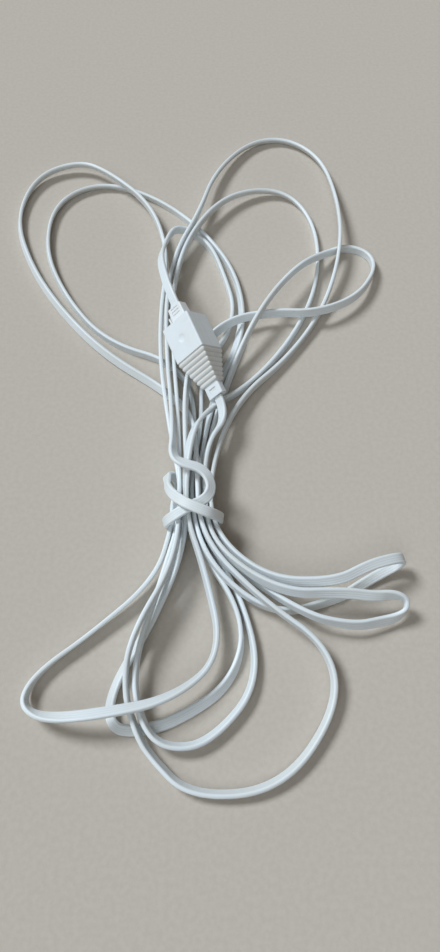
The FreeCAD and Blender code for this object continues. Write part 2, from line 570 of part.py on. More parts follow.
# Where the hank bears on the floor, the cord is pressed flat
reach_all = nodes["cord_hank"].BoundBox
below = Part.makeBox(reach_all.XLength, reach_all.YLength, CORD_WIDTH,
                     V(reach_all.XMin, reach_all.YMin, -CORD_WIDTH))
nodes["cord_hank"] = nodes["cord_hank"].cut(below)

for name, solid in nodes.items():
    solid.exportStep("parts/" + name + ".step")
    print(name, "valid", solid.isValid(), "solids", len(solid.Solids), "volume", round(solid.Volume, 1))

whole = stretches[0] + stretches[1][1:] + stretches[2][1:]
samples, cord_length = core_points(whole, 1.0)
reach = math.hypot(CORD_EDGE_FLAT / 2, CORD_WIDTH / 2 - CORE_CENTRES[-1])
gap = least_gap(samples, reach, 2 * CORD_WIDTH)
area = CORD_WIDTH * CORD_THICKNESS - 2 * CORD_SHOULDER * (CORD_THICKNESS - CORD_EDGE_FLAT) / 2
volume = sum(nodes[name].Volume for name in ("cord_plug_tail", "cord_hank", "cord_socket_tail"))
print("cord length", round(cord_length), "volume over section times length", round(volume / area / cord_length, 3))
print("least gap of the cord to itself", round(gap, 2), "asked", LEAST_GAP)
print("bend radii", sorted(round(radius, 1) for radius in radii))
boxes = [solid.optimalBoundingBox() for solid in nodes.values()]
print("box centre", (min(b.XMin for b in boxes) + max(b.XMax for b in boxes)) / 2,
      (min(b.YMin for b in boxes) + max(b.YMax for b in boxes)) / 2, "lowest", min(b.ZMin for b in boxes))
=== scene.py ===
import math

import bpy
import numpy as np
from mathutils import Matrix


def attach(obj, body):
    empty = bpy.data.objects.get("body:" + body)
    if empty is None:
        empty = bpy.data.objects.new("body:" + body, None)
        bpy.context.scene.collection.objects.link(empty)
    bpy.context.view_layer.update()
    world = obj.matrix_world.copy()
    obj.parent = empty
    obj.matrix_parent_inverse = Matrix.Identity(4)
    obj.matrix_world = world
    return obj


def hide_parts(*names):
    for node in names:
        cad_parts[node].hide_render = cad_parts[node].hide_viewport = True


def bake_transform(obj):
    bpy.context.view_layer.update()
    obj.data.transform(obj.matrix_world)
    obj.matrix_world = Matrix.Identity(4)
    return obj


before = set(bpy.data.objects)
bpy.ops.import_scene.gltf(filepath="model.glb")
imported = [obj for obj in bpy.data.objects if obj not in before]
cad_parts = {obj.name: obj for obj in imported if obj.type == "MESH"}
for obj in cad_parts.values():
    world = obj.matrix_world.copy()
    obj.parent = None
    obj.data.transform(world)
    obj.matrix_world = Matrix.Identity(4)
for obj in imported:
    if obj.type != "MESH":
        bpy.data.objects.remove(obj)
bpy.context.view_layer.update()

MM = 0.001

# The flat cord, in millimetres; its width, thickness and cores are the solids'
CORD_WIDTH = 6.4
CORD_THICKNESS = 2.6
CORD_CORNER = 1.0
CORE_PITCH = 1.27
FLUTE_DEPTH = 0.1
FLUTE_WIDTH = 0.24
FLUTE_SHOULDER = 1.3 * FLUTE_WIDTH

# The plug and its socket, in millimetres and degrees, as in the solids
MOUTH = np.array([-2.6, 33.8, 29.0])
PAIR_YAW, PAIR_PITCH, PAIR_ROLL = 23.7, 10.5, 45.7
GRIP_LENGTH = 13.0
SHOULDER_GAP = 0.3
PLUG_REAR = GRIP_LENGTH + SHOULDER_GAP
HOUSING_WIDTH = 24.0
HOUSING_HEIGHT = 21.0
HOUSING_BODY = 26.0
COLLAR_WIDTH = 12.0
COLLAR_HEIGHT = 5.6
COLLAR_LENGTH = 9.0
RIB_COUNT = 7
RIB_LENGTH = 2.0
GROOVE_LENGTH = 1.1
RIB_PITCH = RIB_LENGTH + GROOVE_LENGTH
RIB_SPAN = RIB_COUNT * RIB_PITCH
COLLAR_END = -(HOUSING_BODY + RIB_SPAN + COLLAR_LENGTH)

# The route's small move, which centres the solids over the origin and presses the hank on the floor
ROUTE_SHIFT = np.array([0.4, 0.3, -0.1 * CORD_WIDTH])

# How far the cord runs straight behind the plug and before the collar, in millimetres
PLUG_LEAD = 13.0
SOCKET_LEAD = 15.0

# The cord's route: x, y, z in millimetres and the lean of its broad side from upright, in degrees
PLUG_TAIL = [(-17.5, 74, 32, 43)]
FIRST_CURL = [
    (-21.5, 97, 24.6, 38), (-20, 118.5, 15.6, 15), (-15, 138.5, 11.2, 5), (-7, 145, 6.2, 0),
    (0, 143, 3.2, 0), (13, 131, 3.2, 0), (22, 107.5, 3.6, 0), (34, 59.5, 3, 0), (8, 12.5, 3.4, 0),
    (9, -30.5, 3, 0)]
FIRST_RIGHT_LOOP = [
    (2, -83, 12.8, 0), (12, -129.5, 16.4, 0), (50, -159, 6, 0), (88.5, -147.5, 2.6, -35),
    (106, -137, 3.6, -60), (116, -131.5, 4, -75), (123.5, -128, 6, None), (127.5, -126, 11, None),
    (124.5, -127, 16.4, None), (116, -129.5, 19, 75), (105, -133, 19.6, 65), (85, -143, 18.4, 50),
    (45.5, -140.5, 16.6, 30), (15, -109, 15.2, 0)]
TALL_LOOP = [
    (16, -61, 12, 0), (33, -11.5, 7, 0), (69.5, 26.5, 2.4, 0), (97, 70.5, 5, 0), (111, 120.5, 14.2, 0),
    (112, 172, 11, -10), (104, 224.5, 5.6, -28), (77, 253, 3.4, -36), (44, 246.5, 4.4, -36),
    (16, 204.5, 8, -18), (4.5, 153.5, 12, 0), (-11.5, 117, 10.8, 0), (-17.5, 73, 8.4, 0),
    (-15, 20.5, 11, 0), (-10, -24.5, 17.4, 0)]
TIE = [
    (-8, -50.5, 22.2, 10), (-7.5, -65.5, 26.8, 45), (-2, -72.5, 30.2, 75), (11, -75.5, 29, 80),
    (16.5, -85.5, 27.2, 55), (13.5, -94.5, 26.4, 65), (1.5, -99.5, 25.4, 85), (-8, -105, 22.6, None),
    (-11.5, -104.5, 15, None), (-12, -101.5, 6, None), (-8.5, -99.5, 1.6, None), (4.5, -101, 1.2, 90),
    (14.5, -99, 1.4, 90), (20.5, -100, 7.6, None), (22.5, -102, 15.8, None), (19, -104, 24.6, None),
    (12, -103.5, 29.8, 80), (-1.5, -97.5, 29.8, 75), (-10.5, -85, 20.8, 25), (-11, -74, 11.6, None),
    (-12.5, -67.5, 5.2, None), (-7.5, -66.5, 2, None), (-3.5, -73.5, 1.4, 90), (-6.5, -86.5, 4.6, 60),
    (-7.5, -105, 9, 0)]
LONG_LEFT_LOOP = [
    (-17, -137.5, 6.8, -15), (-53.5, -169.5, 4.6, -20), (-74.5, -185.5, 4.2, -10), (-84, -199, 5.4, 5),
    (-82.5, -209.5, 8.4, 20), (-69, -215, 13.2, 60), (-44.5, -214, 17.8, 75), (-4, -206, 15, 45),
    (23, -181, 9.4, 15), (12, -132.5, 11.2, 15), (0, -99.5, 19.4, 0)]
MIDDLE_LOOP = [
    (1.5, -53, 25.8, 45), (11.5, -24.5, 13.2, 10), (42, 0.5, 5.8, 0), (72, 41.5, 4, 0), (92, 89, 3.2, 0),
    (96, 142.5, 3.2, -10), (81.5, 181, 3.8, -30), (54, 190.5, 5.8, -34), (20.5, 172.5, 9.8, -10),
    (-4.5, 127.5, 11.4, 0), (-13.5, 79, 8.6, 0), (-11, 26, 10.2, 0), (-6, -25, 15, 0), (-3, -77, 17.6, 0)]
LOW_ROUND_LOOP = [
    (-3.5, -128.5, 18, 0), (-28, -174, 19, 0), (-30, -201.5, 11.2, 5), (-22.5, -221.5, 8.4, 18),
    (-15, -232.5, 6.4, 28), (6, -252, 4.4, 32), (53.5, -248, 4, 34), (84.5, -207.5, 5, 22),
    (80.5, -176, 9.8, 0), (44.5, -152.5, 16, 0), (9, -115.5, 19.8, 0), (7.5, -68.5, 20, -15)]
LEFT_OUTER_LOOP = [
    (3.5, -27, 9, 15), (-14, -3.5, 3, 30), (-57, 25.5, 4.4, 26), (-91.5, 64, 4, 22),
    (-119.5, 108, 3.4, 20), (-137.5, 158, 3.4, 20), (-127, 205, 4.8, 26), (-93, 219, 7.8, 32),
    (-68, 202.5, 11.4, 20), (-31, 166.5, 8.8, 0), (-17, 116, 6, 0), (-21, 64, 8.2, 0), (-19, 12, 12.2, 0),
    (-11, -38.5, 10.4, 0), (-0.5, -90.5, 9.4, 0)]
LOW_INNER_LOOP = [
    (-13, -140.5, 11.2, 0), (-26.5, -187, 10.8, 5), (-20.5, -217, 8.8, 20), (-7.5, -229, 6.6, 32),
    (16, -226, 4.4, 38), (44, -193.5, 3.8, 20), (32.5, -142, 2.8, 0), (5.5, -103, 7.4, 0)]
LEFT_INNER_LOOP = [
    (9, -53, 6.6, 0), (18, -1.5, 4.2, 40), (38, 47, 3, 45), (34, 100, 3.6, 0), (8, 145.5, 3.2, 0),
    (-30, 182.5, 3.2, -12), (-74.5, 200.5, 3.2, -34), (-109, 177, 3.6, -28), (-111.5, 125.5, 3.6, -15),
    (-90, 77, 3.6, -5), (-57.5, 37, 3, 0), (-8.5, 20, 3.4, 0), (6.5, -18, 3.2, 0), (0, -71, 3.6, 0)]
LOW_BROAD_LOOP = [
    (6, -113.5, 8.4, 0), (36, -159, 3.8, 0), (28.5, -195.5, 2.8, 35), (-4.5, -215.5, 2.4, 65),
    (-22.5, -219.5, 2.4, 60), (-35, -219, 3.4, 50), (-39, -208.5, 4, 48), (-34, -190.5, 4, 42),
    (-19, -164, 3.4, 45), (1, -116, 8.6, 30), (0, -64, 16.4, 0)]
SMALL_RIGHT_LOOP = [
    (-2, -11, 15, -15), (3, 26.5, 3.2, -30), (24.5, 50.5, 11.6, -30), (58.5, 61, 9, -15),
    (87.5, 56.5, 12.4, -25), (118.5, 73, 9, -15), (135.5, 102.5, 5.8, 0), (133, 121, 3.8, 0),
    (117.5, 129.5, 2.8, 0), (102.5, 119.5, 7.6, 0), (77.5, 98.5, 16.6, 0), (48.5, 56.5, 18.4, 0),
    (27.5, 9.5, 5, 15), (14, -40.5, 2.4, 10), (10.5, -90, 7, 0)]
SECOND_RIGHT_LOOP = [
    (21.5, -124.5, 10.2, 0), (66.5, -159.5, 13.6, -5), (95, -165.5, 10.2, -30), (112.5, -161.5, 7, -45),
    (121.5, -159, 7, -25), (126.5, -154.5, 9, 0), (125.5, -149.5, 12, 0), (118, -148, 14.2, 27),
    (107.5, -149.5, 14.6, 55), (90.5, -148, 17.2, 50), (53, -149.5, 19.8, 25), (16, -120, 18, 0),
    (10.5, -82.5, 14.6, 15)]
SOCKET_TAIL = [(13, -50, 16.2, 15)]
HANK = (FIRST_CURL + FIRST_RIGHT_LOOP + TALL_LOOP + TIE + LONG_LEFT_LOOP + MIDDLE_LOOP + LOW_ROUND_LOOP
        + LEFT_OUTER_LOOP + LOW_INNER_LOOP + LEFT_INNER_LOOP + LOW_BROAD_LOOP + SMALL_RIGHT_LOOP
        + SECOND_RIGHT_LOOP)


def turn_about(axis, degrees):
    """Rotation matrix about X, Y or Z (0, 1 or 2) by an angle in degrees."""
    c, s = math.cos(math.radians(degrees)), math.sin(math.radians(degrees))
    i, j = (axis + 1) % 3, (axis + 2) % 3
    turn = np.eye(3)
    turn[i, i] = turn[j, j] = c
    turn[i, j], turn[j, i] = -s, s
    return turn


pair_turn = turn_about(2, PAIR_YAW) @ turn_about(0, PAIR_PITCH) @ turn_about(1, -PAIR_ROLL)
pair_across, pair_along = pair_turn[:, 0], pair_turn[:, 1]
pair_origin = MOUTH + ROUTE_SHIFT


def unit(vectors):
    """The vectors, each divided by its length."""
    return vectors / np.maximum(np.linalg.norm(vectors, axis=-1, keepdims=True), 1e-9)


def cord_route():
    """Control points of the whole cord, in millimetres, and its broad side at each of them.

    The broad side leans from upright by the row's angle, in the plane square to the cord; where a row gives
    no angle, it turns evenly from the row before to the next row that has one."""
    rear = pair_origin + pair_along * PLUG_REAR
    collar = pair_origin + pair_along * COLLAR_END
    rows = PLUG_TAIL + HANK + SOCKET_TAIL
    points = np.array([rear, rear + pair_along * PLUG_LEAD]
                      + [np.array(row[:3]) + ROUTE_SHIFT for row in rows]
                      + [collar - pair_along * SOCKET_LEAD, collar])
    leans = [0, 0] + [row[3] for row in rows] + [0, 0]
    along = unit(np.roll(points, -1, axis=0) - np.roll(points, 1, axis=0))
    sides = [None] * len(leans)
    for i, lean in enumerate(leans):
        if lean is not None:
            level = unit(np.cross(along[i], (0, 0, 1)))
            upright = np.cross(level, along[i])
            sides[i] = upright * math.cos(math.radians(lean)) + level * math.sin(math.radians(lean))
    sides[0] = sides[1] = sides[-1] = sides[-2] = pair_across
    for i in range(1, len(sides)):
        given = next(j for j in range(i, len(sides)) if sides[j] is not None)
        side = sides[given] if sides[given] @ sides[i - 1] >= 0 else -sides[given]
        sides[i] = unit(sides[i - 1] + (side - sides[i - 1]) / (given - i + 1))
    return points, np.array(sides)


# Points of the line for each run of the route, and steps round a corner of the section
LINE_STEPS = 12
CORNER_STEPS = 4
# The angle, in degrees, past which an edge is sharp
SHARP_ANGLE = 60
# The first runs of the route, among which the tail behind the plug meets the hank
JUNCTION_RUNS = 8


def smooth_line(points):
    """Points along one NURBS spline that has these points as its control points."""
    curve = bpy.data.curves.new("route", "CURVE")
    curve.dimensions = "3D"
    spline = curve.splines.new("NURBS")
    spline.points.add(len(points) - 1)
    weighted = np.column_stack([points, np.ones(len(points))]).astype(np.float32)
    spline.points.foreach_set("co", weighted.ravel())
    spline.order_u = 3
    spline.use_endpoint_u = True
    spline.resolution_u = LINE_STEPS
    holder = bpy.data.objects.new("route", curve)
    mesh = bpy.data.meshes.new_from_object(holder)
    line = np.empty(len(mesh.vertices) * 3, np.float32)
    mesh.vertices.foreach_get("co", line)
    bpy.data.objects.remove(holder)
    bpy.data.curves.remove(curve)
    bpy.data.meshes.remove(mesh)
    return line.reshape(-1, 3).astype(float)


def cord_outline():
    """Outline of the flat cord: two broad faces with a shallow flute between each two cores, and round
    corners.

    A face's height is half the thickness less a bell-shaped dip at each flute, and a corner is a quarter
    circle. The last column is the depth of the dip, from 0 on the flat to 1 at a flute's floor."""
    half, thick = CORD_WIDTH / 2, CORD_THICKNESS / 2
    flutes = np.array([CORE_PITCH, 0, -CORE_PITCH])
    near = np.array([FLUTE_SHOULDER, 0, -FLUTE_SHOULDER])
    crowns = np.array([half - CORD_CORNER, CORE_PITCH / 2, -CORE_PITCH / 2, CORD_CORNER - half])
    flat = np.sort(np.concatenate([crowns, (flutes[:, None] + near).ravel()]))[::-1]
    dips = np.exp(-((flat[:, None] - flutes) / FLUTE_WIDTH) ** 2).sum(axis=1)
    top = np.column_stack([flat, thick - FLUTE_DEPTH * dips, dips])
    angle = np.linspace(0, np.pi / 2, CORNER_STEPS + 1)[1:-1]
    round_x, round_z = CORD_CORNER * np.cos(angle), CORD_CORNER * np.sin(angle)
    centre = (half - CORD_CORNER, thick - CORD_CORNER)
    first = np.column_stack([centre[0] + round_x, centre[1] + round_z, 0 * angle])
    edge = np.array([[half, thick - CORD_CORNER, 0]])
    upper = np.vstack([edge, first, top, first[::-1] * (-1, 1, 1), edge * (-1, 1, 1)])
    return np.vstack([upper, upper[::-1] * (1, -1, 1)])


def closed_tube(name, rings, attribute, values):
    """A closed mesh piece through rings of points given in millimetres, with a flat cap at each end, smooth
    but for the caps' edges.

    A face joins two neighbours on a ring to the same two on the next ring. The attribute holds one value for
    each point."""
    count, around = rings.shape[:2]
    i, j = np.meshgrid(np.arange(count - 1), np.arange(around), indexing="ij")
    k = (j + 1) % around
    quads = np.stack([i * around + j, i * around + k, (i + 1) * around + k, (i + 1) * around + j], axis=-1)
    caps = [list(range(around))[::-1], [(count - 1) * around + n for n in range(around)]]
    mesh = bpy.data.meshes.new(name)
    mesh.from_pydata((rings.reshape(-1, 3) * MM).tolist(), [], quads.reshape(-1, 4).tolist() + caps)
    mesh.update()
    mesh.shade_smooth()
    mesh.set_sharp_from_angle(angle=math.radians(SHARP_ANGLE))
    mask = mesh.attributes.new(attribute, "FLOAT", "POINT")
    mask.data.foreach_set("value", values.astype(np.float32).ravel())
    piece = bpy.data.objects.new(name, mesh)
    bpy.context.scene.collection.objects.link(piece)
    return piece


def swept_cord(name, line, side, walked):
    """A mesh tube: at each point of the line the outline stands square to it, with its long side along the
    broad side, and no vertex goes below the floor.

    Its map "cord" holds the distance walked along the cord and round its outline, in metres, and its
    attribute "flute" the depth of the flutes."""
    along = unit(np.gradient(line, axis=0))
    across = unit(side - along * np.sum(side * along, axis=1, keepdims=True))
    face = np.cross(along, across)
    outline = cord_outline()
    rings = line[:, None] + outline[None, :, :1] * across[:, None] + outline[None, :, 1:2] * face[:, None]
    rings[..., 2] = np.maximum(rings[..., 2], 0)
    piece = closed_tube(name, rings, "flute", np.tile(outline[:, 2], len(line)))
    mesh = piece.data
    steps = np.linalg.norm(np.diff(outline[:, :2], axis=0), axis=1)
    girth = np.concatenate([[0], np.cumsum(steps)])
    vertex = np.empty(len(mesh.loops), np.int32)
    mesh.loops.foreach_get("vertex_index", vertex)
    place = np.column_stack([walked[vertex // len(outline)], girth[vertex % len(outline)]]) * MM
    mesh.uv_layers.new(name="cord").data.foreach_set("uv", place.astype(np.float32).ravel())
    return piece


# The cord in two pieces: the hank, which ends in the socket's collar, and the free tail behind the plug,
# which ends halfway between its last point and the hank's first
points, sides = cord_route()
line = smooth_line(points)
side = smooth_line(points + sides) - line
tail_points = 2 + len(PLUG_TAIL)
junction = (points[tail_points] + points[tail_points - 1]) / 2
tail_end = int(np.argmin(np.linalg.norm(line[:LINE_STEPS * JUNCTION_RUNS] - junction, axis=1)))
tail_line, hank_line = line[:tail_end + 1], line[tail_end:]
walked = np.concatenate([[0], np.cumsum(np.linalg.norm(np.diff(line, axis=0), axis=1))])
cord_tail = swept_cord("cord_tail", tail_line, side[:tail_end + 1], walked[:tail_end + 1])
cord = swept_cord("cord", hank_line, side[tail_end:], walked[tail_end:])
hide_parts("cord_plug_tail")
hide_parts("cord_hank", "cord_socket_tail")
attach(cord, "hank_and_socket")
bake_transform(cord_tail)

# The soft sleeve over the stepped ribs, in millimetres: its crests' rise over them, and its grooves
CREST_RISE = 0.45
GROOVE_DIP = 0.58
GROOVE_SPREAD = 0.65
GROOVE_SHIFT = 0.15
# Its lap over the collar, and how far its two ends turn in, and over what length
COLLAR_LAP = 0.05
COLLAR_TURN, COLLAR_TURN_LENGTH = 0.45, 0.5
BLOCK_TURN, BLOCK_TURN_LENGTH = 0.1, 0.4
# The radius of its long edges, which shrinks from the block's to the ribs' over the fade
BLOCK_EDGE, RIB_EDGE, EDGE_FADE = 1.2, 0.75, 2.6
# Steps along a rib and round an edge, and the places of a flat's points as shares of its half
RING_STEPS = 14
EDGE_STEPS = 6
FLAT_PLACES = np.array([0.3, 0.9])


def soft_ribs():
    """The housing's ribbed tail, a closed sleeve over the solid's stepped ribs, worked out in the connector
    pair's own frame.

    Its half width and half height fall evenly from the block to the collar, less a bell-shaped groove
    before each rib; its edges are quarter circles, and both its ends turn in. The attribute "groove" is 1 at
    a groove's floor and 0 on a rib's crest."""
    depth = np.linspace(0, RIB_SPAN + COLLAR_LAP, RIB_COUNT * RING_STEPS + 1)
    centres = np.arange(RIB_COUNT) * RIB_PITCH + GROOVE_LENGTH / 2 + GROOVE_SHIFT
    groove = np.exp(-((depth[:, None] - centres) / GROOVE_SPREAD) ** 2).sum(axis=1)
    first_crest = GROOVE_LENGTH + RIB_LENGTH / 2
    share = (depth[:, None] - first_crest + RIB_PITCH) / (RIB_PITCH * (RIB_COUNT + 1))
    block = np.array([HOUSING_WIDTH, HOUSING_HEIGHT]) / 2
    collar = np.array([COLLAR_WIDTH, COLLAR_HEIGHT]) / 2
    into_collar = np.clip((depth - depth[-1] + COLLAR_TURN_LENGTH) / COLLAR_TURN_LENGTH, 0, 1)
    into_block = np.clip(1 - depth / BLOCK_TURN_LENGTH, 0, 1)
    turned_in = COLLAR_TURN * into_collar ** 3 + BLOCK_TURN * into_block
    halves = block + (collar - block) * share + CREST_RISE - (GROOVE_DIP * groove + turned_in)[:, None]
    edge = np.interp(depth, [0, EDGE_FADE], [BLOCK_EDGE, RIB_EDGE])[:, None, None]
    angle = np.linspace(0, np.pi / 2, EDGE_STEPS + 1)
    quarter = np.column_stack([np.cos(angle), np.sin(angle)])
    corner = (halves[:, None] - edge) + edge * quarter
    wall = corner[:, :1] * (1, 0) + corner[:, :1] * (0, 1) * FLAT_PLACES[:, None]
    roof = corner[:, -1:] * (0, 1) + corner[:, -1:] * (1, 0) * FLAT_PLACES[::-1, None]
    first = np.concatenate([wall, corner, roof], axis=1)
    upper = np.concatenate([first, first[:, ::-1] * (-1, 1)], axis=1)
    outline = np.concatenate([upper, upper[:, ::-1] * (1, -1)], axis=1)
    along = np.broadcast_to(-HOUSING_BODY - depth[:, None], outline.shape[:2])
    places = np.stack([outline[..., 0], along, outline[..., 1]], axis=-1)
    rings = pair_origin + places @ pair_turn.T
    return closed_tube("ribbed_tail", rings, "groove", np.repeat(groove, outline.shape[1]))


ribbed_tail = soft_ribs()
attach(ribbed_tail, "hank_and_socket")


def feed(tree, socket, value):
    """Links an input from another socket, or sets its value."""
    if isinstance(value, bpy.types.NodeSocket):
        tree.links.new(value, socket)
    else:
        socket.default_value = value


def add_node(tree, kind, settings=None, **inputs):
    """A new shader node with its settings; an input is given a value, or a socket to be linked from."""
    node = tree.nodes.new("ShaderNode" + kind)
    for title, value in (settings or {}).items():
        setattr(node, title, value)
    for title, value in inputs.items():
        feed(tree, node.inputs[title.replace("_", " ")], value)
    return node


def worked_out(tree, operation, first, second=0.0, held=True):
    """The result of a Math node on two values or sockets, held between 0 and 1 unless told not to be."""
    node = add_node(tree, "Math", {"operation": operation, "use_clamp": held})
    feed(tree, node.inputs[0], first)
    feed(tree, node.inputs[1], second)
    return node.outputs[0]


def mixed(tree, share, first, second):
    """The colour between two colours or colour sockets, by a share from 0 to 1."""
    node = add_node(tree, "Mix", {"data_type": "RGBA"})
    feed(tree, node.inputs[0], share)
    for socket, color in zip((node.inputs[6], node.inputs[7]), (first, second)):
        feed(tree, socket, (*color, 1) if isinstance(color, tuple) else color)
    return node.outputs[2]


def spread(tree, value, low, high, new_low=0.0, new_high=1.0):
    """A value stretched from one range to another and held inside it."""
    node = add_node(tree, "MapRange", Value=value, From_Min=low, From_Max=high,
                    To_Min=new_low, To_Max=new_high)
    return node.outputs[0]


def noise(tree, vector, scale, detail=2.0, distortion=0.0):
    """Cloudy noise around a half, with about as many patches to the vector's unit as the scale says."""
    node = add_node(tree, "TexNoise", Vector=vector, Scale=scale, Detail=detail, Distortion=distortion)
    return node.outputs[0]


def new_group(name, inputs, outputs):
    """An empty shader node group: its inputs with their kinds and first values, and its outputs."""
    group = bpy.data.node_groups.new(name, "ShaderNodeTree")
    for title, kind, value in inputs:
        socket = group.interface.new_socket(title, in_out="INPUT", socket_type="NodeSocket" + kind)
        if value is not None:
            socket.default_value = value
    for title, kind in outputs:
        group.interface.new_socket(title, in_out="OUTPUT", socket_type="NodeSocket" + kind)
    return group, group.nodes.new("NodeGroupInput").outputs, group.nodes.new("NodeGroupOutput").inputs


# Moulded plastic: how often its flow marks, hair scratches and worn patches come, to the metre
FLOW_SCALE = 85.0
HAIR_TURN = (0.5, 0.35, 0.7)
HAIR_STRETCH = (3200.0, 90.0, 3200.0)
HAIR_PATCHES = 210.0
WORN_PATCHES = 700.0
# How much of each shows in the roughness, and how deep a scratch is beside the grain
FLOW_MATT = 0.1
HAIR_MATT = 0.22
EDGE_MATT = 0.12
HAIR_CUT = 0.5
# The height, in metres, that a full bump stands for
BUMP_REACH = 0.001


def moulded_skin():
    """Moulded plastic: a fine even grain, a slow change of shade where it flowed, hair scratches and
    softened, rubbed edges. Puts out the shade, the scratches and the rubbed edges as masks, the roughness
    and the normal.

    An edge is where the normal softened over the edge radius turns away from the face's own."""
    group, given, result = new_group(
        "moulded_skin",
        [("Vector", "Vector", None), ("Grain Scale", "Float", 2400.0), ("Grain Depth", "Float", 0.035),
         ("Polish", "Float", 0.35), ("Edge Radius", "Float", 0.0003)],
        [("Shade", "Float"), ("Scratches", "Float"), ("Edges", "Float"), ("Roughness", "Float"),
         ("Normal", "Vector")])
    grain = noise(group, given["Vector"], given["Grain Scale"])
    shade = spread(group, noise(group, given["Vector"], FLOW_SCALE, 3.0, 0.6), 0.34, 0.66)
    streaks = add_node(group, "Mapping", Vector=given["Vector"], Rotation=HAIR_TURN, Scale=HAIR_STRETCH)
    hairs = spread(group, noise(group, streaks.outputs[0], 1.0, 1.0), 0.69, 0.75)
    patches = spread(group, noise(group, given["Vector"], HAIR_PATCHES), 0.5, 0.6)
    scratches = worked_out(group, "MULTIPLY", hairs, patches)
    soft = add_node(group, "Bevel", Radius=given["Edge Radius"]).outputs[0]
    facing = add_node(group, "VectorMath", {"operation": "DOT_PRODUCT"})
    feed(group, facing.inputs[0], soft)
    feed(group, facing.inputs[1], add_node(group, "NewGeometry").outputs["True Normal"])
    corner = spread(group, facing.outputs["Value"], 0.995, 0.9)
    worn = spread(group, noise(group, given["Vector"], WORN_PATCHES, 3.0), 0.35, 0.6)
    edges = worked_out(group, "MULTIPLY", corner, worn)
    wear = worked_out(group, "ADD", worked_out(group, "MULTIPLY", scratches, HAIR_MATT),
                      worked_out(group, "MULTIPLY", edges, EDGE_MATT))
    matt = worked_out(group, "MULTIPLY", shade, FLOW_MATT)
    roughness = worked_out(group, "ADD", worked_out(group, "ADD", given["Polish"], matt), wear)
    height = worked_out(group, "SUBTRACT", grain, worked_out(group, "MULTIPLY", scratches, HAIR_CUT))
    bump = add_node(group, "Bump", Height=height, Strength=given["Grain Depth"], Distance=BUMP_REACH,
                    Normal=soft)
    feed(group, result["Shade"], shade)
    feed(group, result["Scratches"], scratches)
    feed(group, result["Edges"], edges)
    feed(group, result["Roughness"], roughness)
    feed(group, result["Normal"], bump.outputs[0])
    return group


# Drawn plastic: how often its lines, uneven places and rubs come to the metre, along, round and out of the
# length, and its smudges and rubbed patches any way
LINE_STRETCH = (35.0, 2600.0, 2600.0)
UNEVEN_STRETCH = (45.0, 260.0, 260.0)
RUB_STRETCH = (260.0, 1500.0, 1500.0)
SMUDGE_SCALE = 24.0
RUBBED_PATCHES = 60.0
# The shares of lines and uneven places in the relief, and how much each mark shows in the roughness
LINE_SHARE = 0.35
UNEVEN_SHARE = 0.65
SMUDGE_MATT = 0.1
RUB_MATT = 0.16
LINE_MATT = 0.03


def drawn_skin():
    """Soft plastic drawn through a die: fine lines along the length, a slow unevenness, handling smudges
    and short rubbed marks. The vector runs along, round and out of the length, in metres."""
    group, given, result = new_group(
        "drawn_skin",
        [("Vector", "Vector", None), ("Line Depth", "Float", 0.05), ("Polish", "Float", 0.42)],
        [("Smudge", "Float"), ("Rubs", "Float"), ("Roughness", "Float"), ("Normal", "Vector")])
    drawn = add_node(group, "Mapping", Vector=given["Vector"], Scale=LINE_STRETCH).outputs[0]
    slow = add_node(group, "Mapping", Vector=given["Vector"], Scale=UNEVEN_STRETCH).outputs[0]
    short = add_node(group, "Mapping", Vector=given["Vector"], Scale=RUB_STRETCH).outputs[0]
    lines = noise(group, drawn, 1.0, 3.0)
    uneven = noise(group, slow, 1.0)
    smudge = spread(group, noise(group, given["Vector"], SMUDGE_SCALE, 4.0, 0.4), 0.42, 0.72)
    rubs = worked_out(group, "MULTIPLY", spread(group, noise(group, short, 1.0), 0.64, 0.72),
                      spread(group, noise(group, given["Vector"], RUBBED_PATCHES), 0.5, 0.62))
    height = worked_out(group, "ADD", worked_out(group, "MULTIPLY", lines, LINE_SHARE),
                        worked_out(group, "MULTIPLY", uneven, UNEVEN_SHARE))
    bump = add_node(group, "Bump", Height=height, Strength=given["Line Depth"], Distance=BUMP_REACH)
    matt = worked_out(group, "ADD", worked_out(group, "MULTIPLY", smudge, SMUDGE_MATT),
                      worked_out(group, "MULTIPLY", rubs, RUB_MATT))
    fine = spread(group, lines, 0.3, 0.7, -LINE_MATT, LINE_MATT)
    roughness = worked_out(group, "ADD", worked_out(group, "ADD", given["Polish"], matt), fine, held=False)
    feed(group, result["Smudge"], smudge)
    feed(group, result["Rubs"], rubs)
    feed(group, result["Roughness"], roughness)
    feed(group, result["Normal"], bump.outputs[0])
    return group


MOULDED_SKIN = moulded_skin()
DRAWN_SKIN = drawn_skin()


def new_material(name):
    """A material with only its Principled shader, its tree and its output."""
    material = bpy.data.materials.new(name)
    material.use_nodes = True
    return material, material.node_tree, material.node_tree.nodes["Principled BSDF"].inputs


def use_group(tree, group, **inputs):
    """The outputs of a node group placed in a material, with its inputs set."""
    return add_node(tree, "Group", {"node_tree": group}, **inputs).outputs


def finish_with(tree, shader, color, skin):
    """Gives the shader a colour, and a skin's roughness and normal."""
    feed(tree, shader["Base Color"], color)
    feed(tree, shader["Roughness"], skin["Roughness"])
    feed(tree, shader["Normal"], skin["Normal"])


def pair_place(tree):
    """Object coordinates turned into the connector pair's own frame: x across, y out of the mouth, z out of
    the white face, in metres from the mouth."""
    place = add_node(tree, "TexCoord").outputs["Object"]
    turned = Matrix(pair_turn.tolist()).to_euler()
    return add_node(tree, "Mapping", {"vector_type": "TEXTURE"}, Vector=place, Rotation=tuple(turned),
                    Location=tuple(pair_origin * MM)).outputs[0]


def drawn_place(tree):
    """The connector pair's frame turned a quarter, so that x runs along its cores and contacts."""
    quarter = (0, 0, math.radians(90))
    return add_node(tree, "Mapping", Vector=pair_place(tree), Rotation=quarter).outputs[0]


